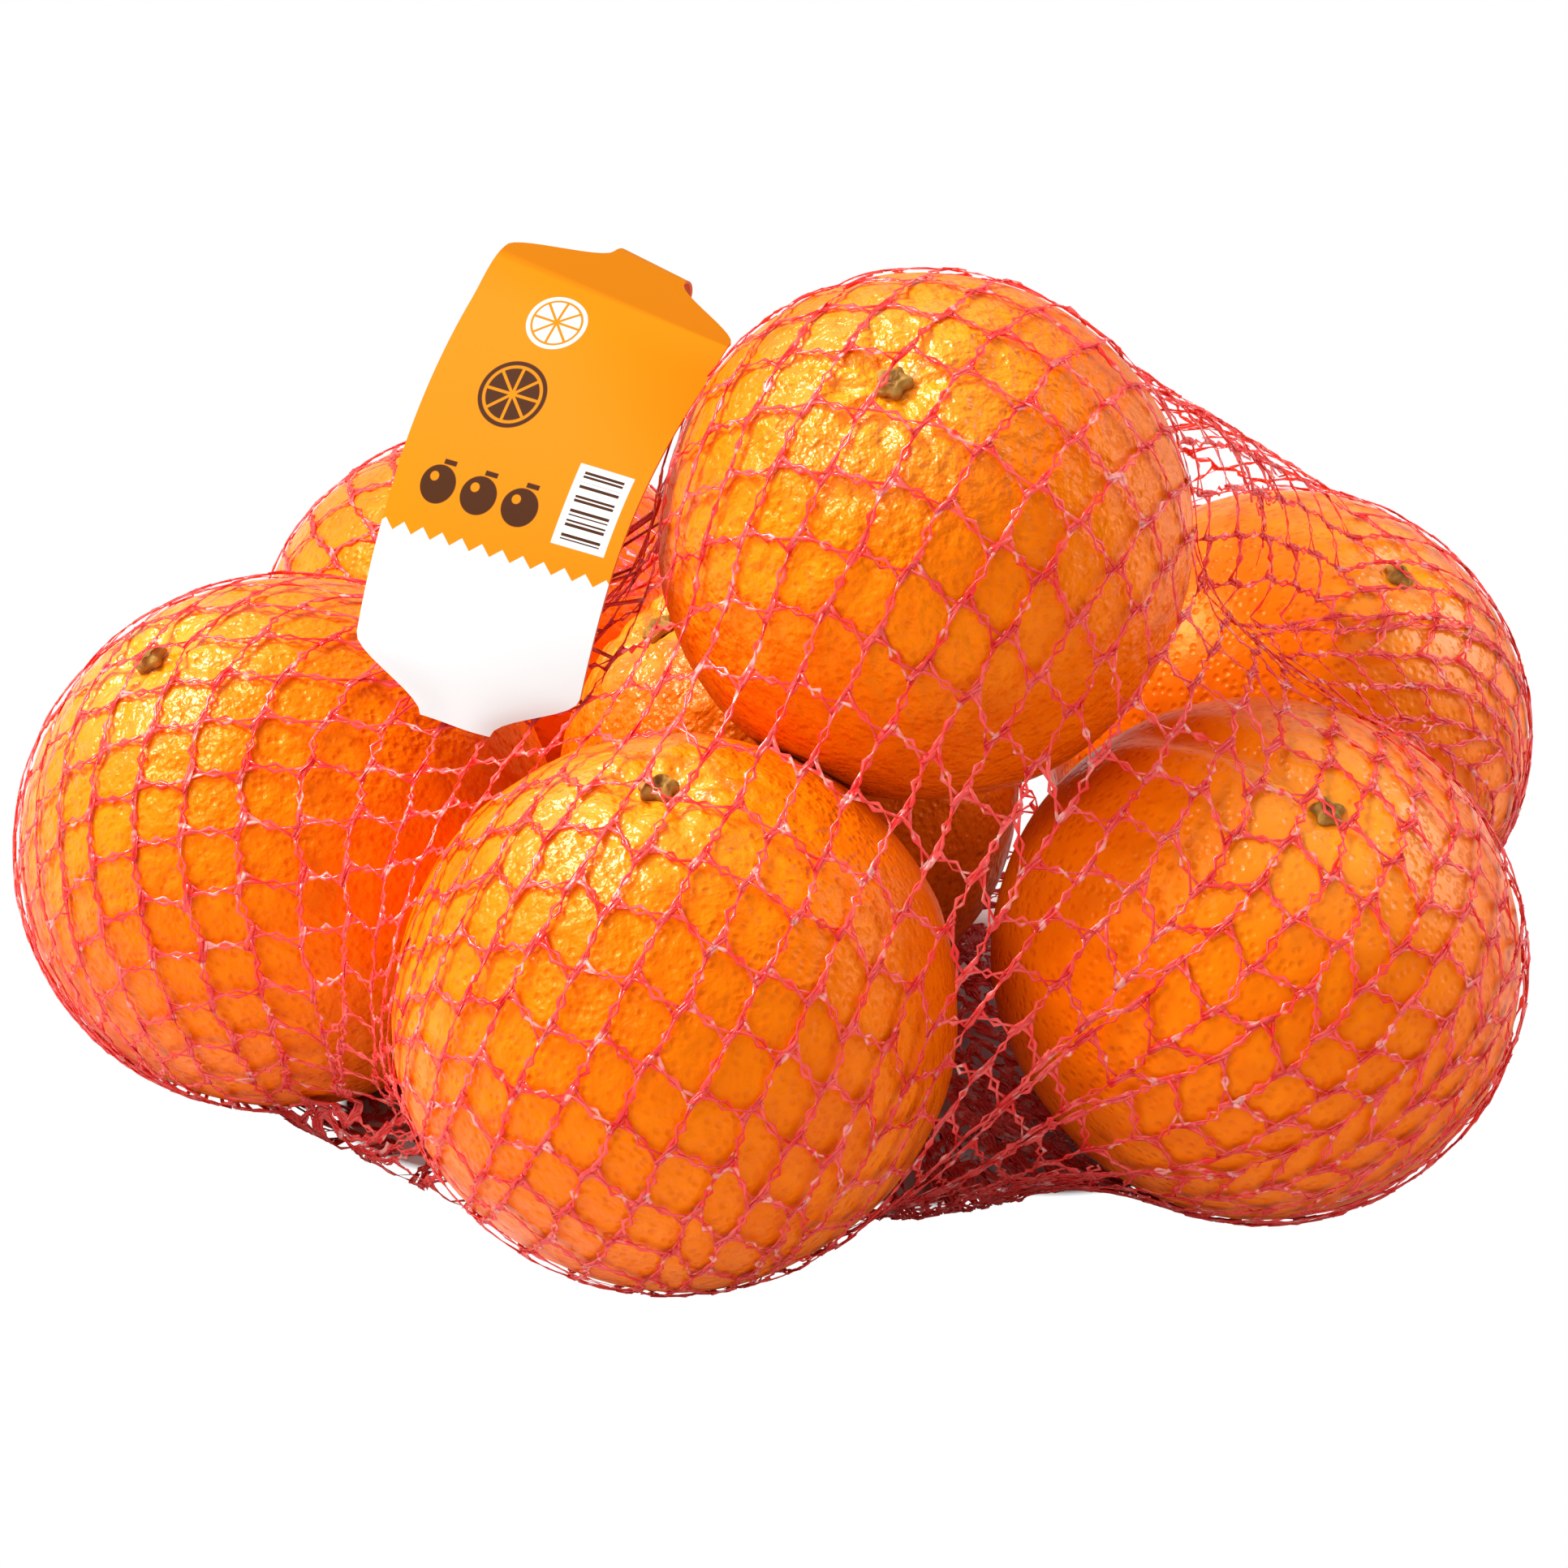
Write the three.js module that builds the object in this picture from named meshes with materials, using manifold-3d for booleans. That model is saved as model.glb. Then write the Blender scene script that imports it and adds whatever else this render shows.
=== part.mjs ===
// A two kilo net of oranges, lying on its side: seven oranges drawn tight in a knitted plastic net.
// The net hangs over the fruit like a stretched skin, so the bag is one closed solid with the fruit
// as its bumps. Each end of the net is gathered into a short tuft that a crimped clip holds. A third
// clip pinches the net on top of the heap and catches the folded strip label there.
// Millimetres, +Z up. The origin is on the floor under the middle of the bag, and the front is -Y.

import * as THREE from 'three';
import { mergeVertices } from 'three/addons/utils/BufferGeometryUtils.js';
import Module from 'manifold-3d';

// The oranges: across is the width round the middle, stem points to the button. An orange with no
// height lies on the floor, the others are held up by their neighbours and the net.
const ORANGES = [
  { name: 'front', at: [-18.6, -70.0], across: 86.6, stem: [-0.05, -0.29, 0.96] },
  { name: 'left', at: [-82.9, -12.4], across: 88.6, stem: [-0.48, -0.18, 0.86] },
  { name: 'right', at: [71.4, -49.0], across: 82.8, stem: [0.26, -0.51, 0.82] },
  { name: 'top', at: [19.3, -30.2], across: 82.6, stem: [-0.09, -0.53, 0.84], height: 102.2 },
  { name: 'middle', at: [-1.5, 12.3], across: 80.0, stem: [-0.59, -0.14, 0.8], height: 40.6 },
  { name: 'back_right', at: [84.8, 38.4], across: 84.6, stem: [0.42, -0.33, 0.85] },
  { name: 'back_left', at: [-54.4, 71.0], across: 84.8, stem: [0.1, 0.3, 0.95] },
];
const FLATNESS = 0.965; // stem to base, as a share of the width
const SINK = 0.9; // how far the fruit's weight flattens the bag on the floor
const SLACK = 0.35; // the net lies this far outside the peel

// The bag's skin, worked out over directions from a point inside the heap
const HEART = new THREE.Vector3(0.8, 6, 40);
const SKIN_DETAIL = 18; // the skin has 20 (SKIN_DETAIL + 1) squared triangles
const SKIN_START = 190; // from the heart, well outside the bag
const SKIN_ROUNDS = 2600;
const SKIN_STEP = 0.55; // share of the way to its neighbours' middle that a corner goes in a round
const STEEPEST = 0.35; // a corner counts its ray as no flatter to the skin than this cosine
const SKIN_CLING = 0.09; // how hard the net is drawn in between the fruit

// On the floor the net runs straight from one outer orange to the next, as a low taut hem
const HEM = ['left', 'front', 'right', 'back_right'];
const HEM_RADIUS = 2.2;
const HEM_STEP = 2;

// The places where the net is gathered: ring is where the clip sits and out is where the tuft points
const GATHERS = {
  label: { ring: [-40.3, -25.5, 87.2], out: [-0.05, -0.35, 0.935] },
  left: { ring: [-111.2, 7.6, 6.0], out: [-0.97, 0.2, 0.0] },
  right: { ring: [110.0, -4.5, 12.5], out: [0.86, 0.5, -0.08] },
};
const STEM_RADIUS = 3.0; // the net, twisted tight
const STEM_ROOT = 15; // from the ring's middle back into the bag
const TUFT_RADIUS = 5.2;
const TUFT_LENGTH = 7;
const CLIP_WIDTH = 5;
const CLIP_THICKNESS = 1.7;
const CLIP_GAP = 0.35;
const TENT_RADIUS = 4.5; // the stem's root, which the skin is drawn up over
const ROUND_SIDES = 20;

// The label: a strip of stiff film. Its wide leaf stands in front, the narrow tongue at its top rolls
// over and runs down behind to the clip, and the short tongue below ends in a straight cut.
const LABEL_FOOT = [-52.6, -45.4, 77.2]; // the middle of that cut
const LABEL_TURN = -27.5; // degrees about the vertical
const LABEL_LEAN = -29; // degrees back
const LABEL_ROLL = 4.4; // degrees to its right
const LABEL_THICKNESS = 0.5;
const LEAF_WIDTH = 40.8;
const TONGUE_WIDTH = 13;
const SHOULDER = 9.5; // length over which the tongue widens into the leaf
const LEAF_LENGTH = 72.8; // along the film, from the cut end to the crease under the top shoulder
const LEAF_START_ANGLE = 20; // degrees towards the front, going up
const LEAF_END_ANGLE = -33.5;
const CREASE_LENGTH = 1.5;
const TOP_LENGTH = 10; // from the crease to the roll
const TOP_ANGLE = -50;
const LABEL_TWIST = -11; // degrees that the film has twisted about its length at the crease
const TWIST_START = 25; // along the film
const ROLL_RADIUS = 3.2;
const BACK_START_ANGLE = -186;
const BACK_END_ANGLE = -193;
const BACK_LENGTH = 46;
const LEAF_STEPS = 34;
const CREASE_STEPS = 2;
const TOP_STEPS = 8;
const ROLL_STEPS = 10;
const BACK_STEPS = 12;

const PEEL_SEEN_THROUGH_NET = new THREE.MeshStandardMaterial({
  color: 0xf2802a, roughness: 0.45, metalness: 0,
});
const PRINTED_FILM = new THREE.MeshStandardMaterial({ color: 0xff9e18, roughness: 0.35, metalness: 0 });
const CRIMPED_METAL = new THREE.MeshStandardMaterial({ color: 0xc9cbcc, roughness: 0.3, metalness: 0.9 });

const vector = (list) => new THREE.Vector3(...list);
const toRadians = THREE.MathUtils.degToRad;

// How far a flattened orange reaches from its middle towards a unit direction
function reach(orange, direction) {
  const equator = orange.across / 2;
  const along = vector(orange.stem).normalize().dot(direction);
  return equator * Math.hypot(Math.sqrt(1 - along * along), FLATNESS * along);
}

function middleOf(orange) {
  const down = new THREE.Vector3(0, 0, -1);
  const z = orange.height ?? reach(orange, down) - SINK;
  return new THREE.Vector3(orange.at[0], orange.at[1], z);
}

// Where a ray from the heart last leaves a spheroid, or 0 where it misses
function exitDistance(ball, direction) {
  const squeeze = (v) => {
    const along = v.dot(ball.axis);
    return v.clone().addScaledVector(ball.axis, along * (1 / ball.flatness - 1));
  };
  const start = squeeze(HEART.clone().sub(ball.middle));
  const heading = squeeze(direction);
  const a = heading.dot(heading);
  const b = start.dot(heading);
  const c = start.dot(start) - ball.radius ** 2;
  const root = b * b - a * c;
  return root > 0 ? Math.max(0, (Math.sqrt(root) - b) / a) : 0;
}

const tentPole = ({ ring, out }) => ({
  middle: vector(ring).addScaledVector(vector(out).normalize(), -STEM_ROOT + TENT_RADIUS),
  radius: TENT_RADIUS,
  axis: new THREE.Vector3(0, 0, 1),
  flatness: 1,
});

const fruit = ORANGES.map((orange) => ({
  middle: middleOf(orange),
  radius: orange.across / 2 + SLACK,
  axis: vector(orange.stem).normalize(),
  flatness: FLATNESS,
}));

// Small balls in a row between the places where two oranges stand, for the skin to lie over
function hemBetween(first, second) {
  const [from, to] = [first, second].map((name) => {
    const { at } = ORANGES.find((orange) => orange.name === name);
    return new THREE.Vector3(...at, HEM_RADIUS);
  });
  const count = Math.round(from.distanceTo(to) / HEM_STEP);
  return Array.from({ length: count }, (_, i) => ({
    middle: from.clone().lerp(to, i / count),
    radius: HEM_RADIUS,
    axis: new THREE.Vector3(0, 0, 1),
    flatness: 1,
  }));
}

const hem = HEM.slice(1).flatMap((name, i) => hemBetween(HEM[i], name));
const supports = [...fruit, ...hem, ...Object.values(GATHERS).map(tentPole)];

// A closed triangle mesh as a three.js geometry, from one shared list of corners
function geometryFrom(positions, index) {
  const geometry = new THREE.BufferGeometry();
  geometry.setAttribute('position', new THREE.Float32BufferAttribute(positions, 3));
  geometry.setIndex(index);
  return geometry;
}

function bareCopy(geometry) {
  const bare = geometry.clone();
  bare.deleteAttribute('normal');
  bare.deleteAttribute('uv');
  return mergeVertices(bare, 1e-4);
}

// The taut skin: every corner may only slide on its own ray from the heart. The skin shrinks like a
// soap film until it lies on the fruit, and it never goes through the floor.
function tautSkin() {
  const ball = bareCopy(new THREE.IcosahedronGeometry(1, SKIN_DETAIL));
  const rays = ball.getAttribute('position');
  const index = Array.from(ball.index.array);
  const count = rays.count;
  const around = Array.from({ length: count }, () => new Set());
  for (let i = 0; i < index.length; i += 3) {
    for (let k = 0; k < 3; k += 1) {
      around[index[i + k]].add(index[i + ((k + 1) % 3)]).add(index[i + ((k + 2) % 3)]);
    }
  }
  const headings = [];
  const lowest = new Float64Array(count);
  const highest = new Float64Array(count);
  for (let i = 0; i < count; i += 1) {
    const heading = new THREE.Vector3().fromBufferAttribute(rays, i).normalize();
    headings.push(heading);
    highest[i] = heading.z < 0 ? HEART.z / -heading.z : Infinity;
    lowest[i] = Math.min(highest[i], Math.max(...supports.map((ball) => exitDistance(ball, heading))));
  }
  const reachOut = Float64Array.from(highest, (limit) => Math.min(limit, SKIN_START));
  const corners = headings.map((heading, i) => heading.clone().multiplyScalar(reachOut[i]).add(HEART));
  const normals = headings.map(() => new THREE.Vector3());
  const edgeA = new THREE.Vector3();
  const edgeB = new THREE.Vector3();
  const pull = new THREE.Vector3();
  for (let round = 0; round < SKIN_ROUNDS; round += 1) {
    normals.forEach((normal) => normal.set(0, 0, 0));
    for (let i = 0; i < index.length; i += 3) {
      const [a, b, c] = [index[i], index[i + 1], index[i + 2]];
      edgeA.subVectors(corners[b], corners[a]);
      edgeB.subVectors(corners[c], corners[a]);
      edgeA.cross(edgeB);
      normals[a].add(edgeA);
      normals[b].add(edgeA);
      normals[c].add(edgeA);
    }
    for (let i = 0; i < count; i += 1) {
      pull.set(0, 0, 0);
      around[i].forEach((other) => pull.add(corners[other]));
      pull.divideScalar(around[i].size).sub(corners[i]);
      const normal = normals[i].normalize();
      const slope = Math.max(STEEPEST, headings[i].dot(normal));
      const moved = reachOut[i] + (SKIN_STEP * (pull.dot(normal) - SKIN_CLING)) / slope;
      reachOut[i] = Math.min(highest[i], Math.max(lowest[i], moved));
      corners[i].copy(HEART).addScaledVector(headings[i], reachOut[i]);
    }
  }
  return geometryFrom(corners.flatMap((corner) => corner.toArray()), index);
}

// Places a shape made about +Z with its zero at a gather's ring, pointing out of the bag
function placeAtGather(geometry, { ring, out }) {
  const turn = new THREE.Quaternion().setFromUnitVectors(new THREE.Vector3(0, 0, 1), vector(out).normalize());
  return geometry.applyQuaternion(turn).translate(...ring);
}

function tuft(gather) {
  const half = CLIP_WIDTH / 2;
  const profile = [
    [0, -STEM_ROOT], [STEM_RADIUS * 0.9, -STEM_ROOT], [STEM_RADIUS * 1.15, -half - 2.5],
    [STEM_RADIUS, -half - 1], [STEM_RADIUS, half + 0.6], [TUFT_RADIUS * 0.8, half + TUFT_LENGTH * 0.45],
    [TUFT_RADIUS, half + TUFT_LENGTH * 0.8], [TUFT_RADIUS * 0.86, half + TUFT_LENGTH],
    [0, half + TUFT_LENGTH],
  ];
  const turned = new THREE.LatheGeometry(profile.map(([r, z]) => new THREE.Vector2(r, z)), ROUND_SIDES);
  return placeAtGather(turned.rotateX(Math.PI / 2), gather);
}

function clip(gather) {
  const inner = STEM_RADIUS + CLIP_GAP;
  const outer = inner + CLIP_THICKNESS;
  const half = CLIP_WIDTH / 2;
  const soft = CLIP_THICKNESS * 0.3;
  const profile = [
    [inner, -half], [outer - soft, -half], [outer, -half + soft], [outer, half - soft],
    [outer - soft, half], [inner, half], [inner, -half],
  ];
  const turned = new THREE.LatheGeometry(profile.map(([r, z]) => new THREE.Vector2(r, z)), ROUND_SIDES);
  return placeAtGather(turned.rotateX(Math.PI / 2), gather);
}

// The label's width at a distance along the film
function labelWidth(along) {
  const fromEnd = Math.min(along, LEAF_LENGTH + CREASE_LENGTH + TOP_LENGTH - along);
  const share = THREE.MathUtils.smoothstep(fromEnd, 0, SHOULDER);
  return TONGUE_WIDTH + (LEAF_WIDTH - TONGUE_WIDTH) * share;
}

// The strip from its cut end, up the leaf, over the roll and down to the clip. In its own frame X is
// across the film, Y is behind it and Z is up, and an angle of 0 runs straight up.
function labelStrip() {
  const rollLength = toRadians(TOP_ANGLE - BACK_START_ANGLE) * ROLL_RADIUS;
  const stretches = [
    { length: LEAF_LENGTH, from: LEAF_START_ANGLE, to: LEAF_END_ANGLE, steps: LEAF_STEPS },
    { length: CREASE_LENGTH, from: LEAF_END_ANGLE, to: TOP_ANGLE, steps: CREASE_STEPS },
    { length: TOP_LENGTH, from: TOP_ANGLE, to: TOP_ANGLE, steps: TOP_STEPS },
    { length: rollLength, from: TOP_ANGLE, to: BACK_START_ANGLE, steps: ROLL_STEPS },
    { length: BACK_LENGTH, from: BACK_START_ANGLE, to: BACK_END_ANGLE, steps: BACK_STEPS },
  ];
  const stations = [];
  let y = 0;
  let z = 0;
  let along = 0;
  const addStation = (angle) => {
    const twist = toRadians(LABEL_TWIST) * THREE.MathUtils.smoothstep(along, TWIST_START, LEAF_LENGTH);
    stations.push({ y, z, angle: toRadians(angle), width: labelWidth(along), twist });
  };
  addStation(LEAF_START_ANGLE);
  for (const { length, from, to, steps } of stretches) {
    for (let step = 0; step < steps; step += 1) {
      const middle = toRadians(from + ((to - from) * (step + 0.5)) / steps);
      y -= (Math.sin(middle) * length) / steps;
      z += (Math.cos(middle) * length) / steps;
      along += length / steps;
      addStation(from + ((to - from) * (step + 1)) / steps);
    }
  }
  const corners = [];
  for (const { y: behind, z: up, angle, width, twist } of stations) {
    const middle = new THREE.Vector3(0, behind, up);
    const forward = new THREE.Vector3(0, -Math.sin(angle), Math.cos(angle));
    const across = new THREE.Vector3(1, 0, 0).applyAxisAngle(forward, -twist).multiplyScalar(width / 2);
    const out = across.clone().cross(forward).normalize().multiplyScalar(LABEL_THICKNESS / 2);
    for (const [side, face] of [[-1, 1], [1, 1], [1, -1], [-1, -1]]) {
      corners.push(middle.clone().addScaledVector(across, side).addScaledVector(out, face));
    }
  }
  const positions = corners.flatMap((corner) => corner.toArray());
  const index = [0, 3, 2, 0, 2, 1];
  const last = (stations.length - 1) * 4;
  for (let base = 0; base < last; base += 4) {
    for (let side = 0; side < 4; side += 1) {
      const a = base + side;
      const b = base + ((side + 1) % 4);
      index.push(a, b, b + 4, a, b + 4, a + 4);
    }
  }
  index.push(last, last + 1, last + 2, last, last + 2, last + 3);
  return geometryFrom(positions, index);
}

const wasm = await Module();
wasm.setup();

function toSolid(geometry) {
  const bare = bareCopy(geometry);
  return new wasm.Manifold(new wasm.Mesh({
    numProp: 3,
    vertProperties: Float32Array.from(bare.getAttribute('position').array),
    triVerts: Uint32Array.from(bare.index.array),
  }));
}

function toGeometry(solid) {
  const mesh = solid.getMesh();
  return geometryFrom(Array.from(mesh.vertProperties), Array.from(mesh.triVerts));
}

const bag = Object.values(GATHERS)
  .map((gather) => toSolid(tuft(gather)))
  .reduce((solid, gathered) => solid.add(gathered), toSolid(tautSkin()));

function piece(name, geometry, material) {
  const mesh = new THREE.Mesh(geometry, material);
  mesh.name = name;
  return mesh;
}

const label = piece('label', labelStrip(), PRINTED_FILM);
label.position.set(...LABEL_FOOT);
label.rotation.set(toRadians(LABEL_LEAN), toRadians(LABEL_ROLL), toRadians(LABEL_TURN), 'ZXY');

const group = new THREE.Group();
group.add(
  piece('net_with_oranges', toGeometry(bag), PEEL_SEEN_THROUGH_NET),
  label,
  ...Object.entries(GATHERS).map(([name, gather]) => piece(`clip_${name}`, clip(gather), CRIMPED_METAL)),
);

// The places above are whole tenths, and this takes up what is left to the exact middle of the box
const box = new THREE.Box3().setFromObject(group, true);
const middle = box.getCenter(new THREE.Vector3());
group.position.set(-middle.x, -middle.y, -box.min.z);
group.updateMatrixWorld(true);

export default group;
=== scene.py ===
# A two kilo net of oranges lying on its side: seven oranges drawn tight in a red knitted net, a strip
# label clipped on top of it, and a plain white studio round it.

import math

import bpy
import numpy as np
from mathutils import Matrix, Vector
from mathutils.bvhtree import BVHTree


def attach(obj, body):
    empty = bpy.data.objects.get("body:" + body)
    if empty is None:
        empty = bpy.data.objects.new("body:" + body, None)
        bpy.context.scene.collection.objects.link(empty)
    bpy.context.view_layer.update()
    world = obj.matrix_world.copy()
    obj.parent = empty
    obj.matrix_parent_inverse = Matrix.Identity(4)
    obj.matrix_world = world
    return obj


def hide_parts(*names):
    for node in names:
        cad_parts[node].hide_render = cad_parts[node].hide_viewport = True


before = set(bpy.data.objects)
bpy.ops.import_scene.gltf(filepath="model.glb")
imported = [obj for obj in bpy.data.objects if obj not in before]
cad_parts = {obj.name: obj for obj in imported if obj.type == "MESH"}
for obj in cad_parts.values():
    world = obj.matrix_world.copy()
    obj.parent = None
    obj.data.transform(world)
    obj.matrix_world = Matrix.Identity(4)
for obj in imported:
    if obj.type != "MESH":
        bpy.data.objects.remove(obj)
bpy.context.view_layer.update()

# The camera: a short telephoto a little above the heap, looking slightly down on it.
# It keeps the photograph's place, tilt and field of view, and its picture is 1932 pixels square.

MM = 0.001
CAMERA_PLACE = (-2.2 * MM, -658.6 * MM, 344.3 * MM)
CAMERA_TILT = 24.3  # degrees below the horizon
SENSOR_WIDTH = 36.0
LENS = SENSOR_WIDTH * 5389 / 1932  # focal length over picture width, both in pixels

bpy.ops.object.select_all(action="DESELECT")
bpy.ops.object.camera_add(location=CAMERA_PLACE, rotation=(math.radians(90 - CAMERA_TILT), 0, 0))
camera = bpy.context.object
camera.data.sensor_width = SENSOR_WIDTH
camera.data.lens = LENS
camera.data.dof.use_dof = False
bpy.context.scene.camera = camera

# The oranges: seven fresh hand oranges, a little flattened from stem to base, no two alike.
# Each is a sphere of many rings about its stem, then sculpted: a dimple at the stem with furrows
# that run out of it, broad lumps, fine pebbling, and flats where it lies and meets a neighbour.

ORANGES = {
    "orange_front": {"at": (-18.6, -70.0), "across": 86.6, "stem": (-0.05, -0.15, 0.99), "rough": 1.0},
    "orange_left": {"at": (-82.9, -12.4), "across": 88.6, "stem": (-0.48, -0.18, 0.86), "rough": 1.2},
    "orange_right": {"at": (71.4, -49.0), "across": 82.8, "stem": (0.19, -0.47, 0.86), "rough": 0.3,
                     "crease": (-0.46, 0.24, 0.85)},
    "orange_top": {
        "at": (19.3, -30.2), "across": 82.6, "stem": (-0.145, -0.53, 0.84), "rough": 1.6, "height": 102.2,
    },
    "orange_middle": {
        "at": (-1.5, 12.3), "across": 80.0, "stem": (-0.58, -0.07, 0.81), "rough": 1.2, "height": 40.6,
    },
    "orange_back_right": {"at": (84.8, 38.4), "across": 84.6, "stem": (0.42, -0.33, 0.85), "rough": 0.3},
    "orange_back_left": {"at": (-54.4, 71.0), "across": 84.8, "stem": (0.1, 0.3, 0.95), "rough": 0.7},
}
FLATNESS = 0.965  # stem to base, as a share of the width
SINK = 0.9  # how far an orange's own weight flattens it on the floor
FLOOR_GAP = 0.3  # the net under it
PEEL_AROUND, PEEL_RINGS = 196, 98
CONTACT_GAP = 0.05
PEEL_MIDDLE, PEEL_HIGHEST = -0.35, 0.22  # of the relief, from the round
STEM_REACH = 24  # how far from the stem the peel is rougher
DIMPLE_DEPTH, DIMPLE_ROUGH, DIMPLE_WIDTH = 1.5, 0.9, 5.2
COLLAR_HEIGHT, COLLAR_AT, COLLAR_WIDTH = 0.35, 11, 5  # the swelling round the dimple
FURROW_DEPTH, CREASE_DEPTH = 0.95, 2.6
BASE_DEPTH, BASE_WIDTH = 1.1, 4.5  # the dimple at the other end


def unit(values):
    values = np.asarray(values, float)
    return values / np.linalg.norm(values, axis=-1, keepdims=True)


def smoothstep(low, high, value):
    share = np.clip((value - low) / (high - low), 0.0, 1.0)
    return share * share * (3 - 2 * share)


def uneven(points, wavelength, seed):
    """Smooth random relief between -1 and 1, that varies over about a wavelength."""
    cells = np.random.default_rng(seed).uniform(-1, 1, (24, 24, 24))
    place = points / wavelength + 100
    low = np.floor(place).astype(int)
    share = place - low
    share = share * share * (3 - 2 * share)
    total = np.zeros(len(points))
    for corner in np.ndindex(2, 2, 2):
        weight = np.ones(len(points))
        for axis, side in enumerate(corner):
            weight *= share[:, axis] if side else 1 - share[:, axis]
        total += weight * cells[tuple((low + corner).T % 24)]
    return total


def vertices_of(mesh):
    flat = np.empty(len(mesh.vertices) * 3)
    mesh.vertices.foreach_get("co", flat)
    return flat.reshape(-1, 3)


def set_vertices(mesh, points):
    mesh.vertices.foreach_set("co", np.asarray(points, np.float32).ravel())
    mesh.update()


def set_attribute(mesh, name, values):
    mesh.attributes.new(name, "FLOAT", "POINT").data.foreach_set("value", np.asarray(values, np.float32))


for facts in ORANGES.values():
    facts["radius"] = facts["across"] / 2
    facts["stem"] = unit(facts["stem"])
    lean = facts["stem"][2]
    down = facts["radius"] * math.hypot(math.sqrt(1 - lean * lean), FLATNESS * lean)
    facts["middle"] = np.array([*facts["at"], facts.get("height", down - SINK)])


def furrows(distance, turn, rng, strength):
    """Grooves that run out from the stem like a star, each of its own depth and length."""
    depth = np.zeros(len(distance))
    count = rng.integers(8, 12)
    for k in range(count):
        heading = 2 * math.pi * (k + rng.uniform(-0.3, 0.3)) / count
        length = rng.uniform(13, 27)
        wander = 0.16 * np.sin(distance / rng.uniform(4, 7) + rng.uniform(0, 6))
        off = np.abs((turn - heading - wander + math.pi) % (2 * math.pi) - math.pi) * distance
        width = 0.9 + 0.055 * distance
        ends = smoothstep(2.0, 5.0, distance) * (1 - smoothstep(0.4 * length, length, distance))
        depth += rng.uniform(0.35, 1.0) * ends * np.exp(-((off / width) ** 2))
    return strength * depth


def sculpt_orange(obj, name, facts, seed):
    rng = np.random.default_rng(seed)
    stem = facts["stem"]
    to_own = np.array(Vector(stem).rotation_difference(Vector((0, 0, 1))).to_matrix())
    rays = unit((vertices_of(obj.data) / MM - facts["middle"]) @ to_own.T)
    polar = np.arccos(np.clip(rays[:, 2], -1, 1))
    distance = facts["radius"] * polar
    turn = np.arctan2(rays[:, 1], rays[:, 0])
    rough = facts["rough"]
    near_stem = np.exp(-((distance / STEM_REACH) ** 2))
    points = rays * facts["radius"]
    relief = PEEL_MIDDLE + 0.5 * uneven(points, 26, seed) + 0.18 * uneven(points, 11, seed + 1)
    relief -= (DIMPLE_DEPTH + DIMPLE_ROUGH * rough) * np.exp(-((distance / DIMPLE_WIDTH) ** 2))
    relief += COLLAR_HEIGHT * rough * np.exp(-(((distance - COLLAR_AT) / COLLAR_WIDTH) ** 2))
    relief -= furrows(distance, turn, rng, FURROW_DEPTH * rough)
    if "crease" in facts:  # a fold in the peel, from the stem towards that way
        far = unit(facts["crease"]) @ to_own.T
        share = np.clip(points @ far / facts["radius"], 0, 1)
        heading = np.arctan2(far[1], far[0])
        off = np.abs((turn - heading + math.pi) % (2 * math.pi) - math.pi) * distance
        length = facts["radius"] * math.acos(far[2])
        along = smoothstep(1.5, 7, distance) * (1 - smoothstep(0.75 * length, 1.15 * length, distance))
        relief -= CREASE_DEPTH * along * share * np.exp(-((off / (2.0 + 0.06 * distance)) ** 2))
    relief += (0.05 + 0.42 * rough * near_stem) * uneven(points, 4.4, seed + 2)
    relief += (0.03 + 0.13 * rough * (0.35 + near_stem)) * uneven(points, 2.3, seed + 3)
    relief -= BASE_DEPTH * np.exp(-(((math.pi - polar) * facts["radius"] / BASE_WIDTH) ** 2))
    relief = np.minimum(relief, PEEL_HIGHEST)
    shaped = rays * (facts["radius"] * np.array([1, 1, FLATNESS]) + relief[:, None])
    shaped = shaped @ to_own + facts["middle"]
    for other_name, other in ORANGES.items():
        if other_name == name:
            continue
        across = other["middle"] - facts["middle"]
        apart = np.linalg.norm(across)
        towards = across / apart
        face = (apart**2 + facts["radius"] ** 2 - other["radius"] ** 2) / (2 * apart) - CONTACT_GAP
        over = (shaped - facts["middle"]) @ towards - face
        shaped -= np.maximum(over, 0)[:, None] * towards * (apart < facts["radius"] + other["radius"])
    shaped[:, 2] = np.maximum(shaped[:, 2], FLOOR_GAP)
    set_vertices(obj.data, shaped * MM)
    set_attribute(obj.data, "near_stem", near_stem)
    set_attribute(obj.data, "rough_peel", np.full(len(rays), rough))


peels = {}
for seed, (name, facts) in enumerate(ORANGES.items(), 11):
    bpy.ops.mesh.primitive_uv_sphere_add(
        segments=PEEL_AROUND, ring_count=PEEL_RINGS, radius=facts["radius"] * MM,
        location=facts["middle"] * MM,
        rotation=Vector((0, 0, 1)).rotation_difference(Vector(facts["stem"])).to_euler(),
    )
    peels[name] = bpy.context.object
    peels[name].name = name
    bpy.ops.object.transform_apply(location=True, rotation=True, scale=True)
    bpy.ops.object.shade_smooth()
    sculpt_orange(peels[name], name, facts, seed * 10)


def new_material(name):
    """A material with a Principled shader, with its tree and that shader."""
    material = bpy.data.materials.new(name)
    material.use_nodes = True
    return material, material.node_tree, material.node_tree.nodes["Principled BSDF"]


def add(tree, kind, inputs=(), **settings):
    """A new node, each input of which is joined to a socket or set to a value."""
    node = tree.nodes.new(kind)
    for key, value in settings.items():
        setattr(node, key, value)
    for key, value in dict(inputs).items():
        if isinstance(value, bpy.types.NodeSocket):
            tree.links.new(value, node.inputs[key])
        else:
            node.inputs[key].default_value = value
    return node


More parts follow.
